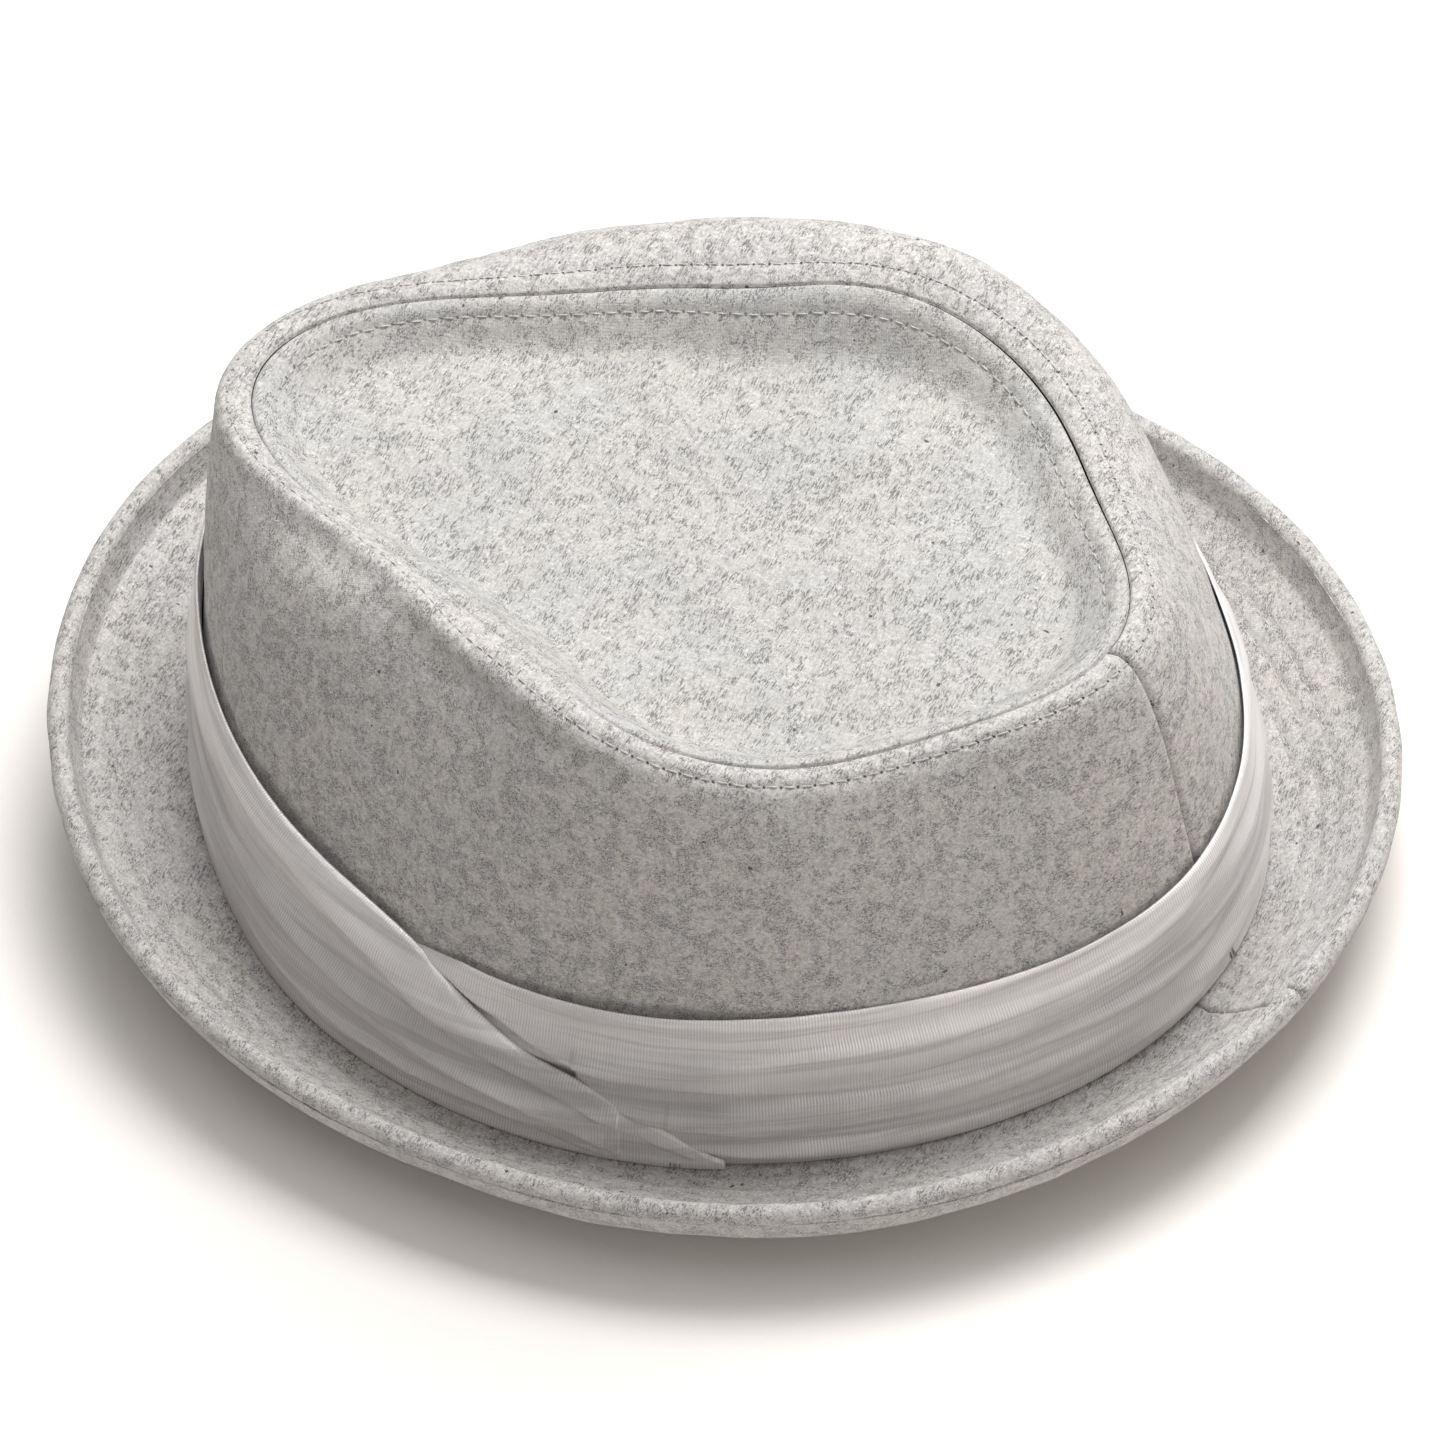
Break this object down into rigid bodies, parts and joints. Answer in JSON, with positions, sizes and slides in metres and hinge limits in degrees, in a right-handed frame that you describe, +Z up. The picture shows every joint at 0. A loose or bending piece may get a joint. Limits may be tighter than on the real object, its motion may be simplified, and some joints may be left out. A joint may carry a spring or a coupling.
{
  "type": "stingy-brim hat",
  "caption": "Soft wool-felt hat with a low dished diamond-shaped crown, a narrow brim turned up all round and a pleated satin band crossed over at one side.",
  "frame": {"origin": "middle of the plan outline, on the plane that the hat stands on", "axes": "+Z up, -Y towards the front of the hat, +Y towards the back seam, +X towards the wearer's left, where the band crosses over"},
  "size_m": [0.2286, 0.2626, 0.0977],
  "materials": {
    "felt": "heathered wool felt, light grey with darker fibres",
    "felt_thread": "matt polyester sewing thread, pale grey",
    "stiffener": "white non-woven stiffener",
    "lining_satin": "mid-grey lining satin",
    "band_satin": "silver-grey ribbed satin, soft sheen",
    "stay_ribbon": "plain grey stay ribbon",
    "band_thread": "grey thread",
    "sweatband_cloth": "dark grey twill cloth",
    "lining_thread": "dark grey thread",
    "label_tape": "white woven tape, blank"
  },
  "bodies": {
    "hat": {"brim_interlining": "stiffener", "brim_top_panel": "felt", "brim_topstitch_threads": "felt_thread", "brim_under_panel": "felt", "crown_side_lining": "lining_satin", "crown_side_panel": "felt", "crown_side_stiffener": "stiffener", "crown_tip_lining": "lining_satin", "crown_tip_panel": "felt", "crown_tip_stiffener": "stiffener", "hatband": "band_satin", "hatband_backing": "stay_ribbon", "hatband_tack_stitches": "band_thread", "lining_seam_thread": "lining_thread", "sweatband": "sweatband_cloth", "sweatband_stitch_thread": "lining_thread", "tip_topstitch_inner": "felt_thread", "tip_topstitch_outer": "felt_thread"},
    "care_label_flap": {"care_label": "label_tape"}
  },
  "joints": [
    {"name": "label_flip", "type": "hinge", "parent": "hat", "child": "care_label_flap", "pos_m": [0.00184, 0.09609, 0.0486], "axis": [-1, 0, 0], "range_deg": [0, 150]}
  ]
}
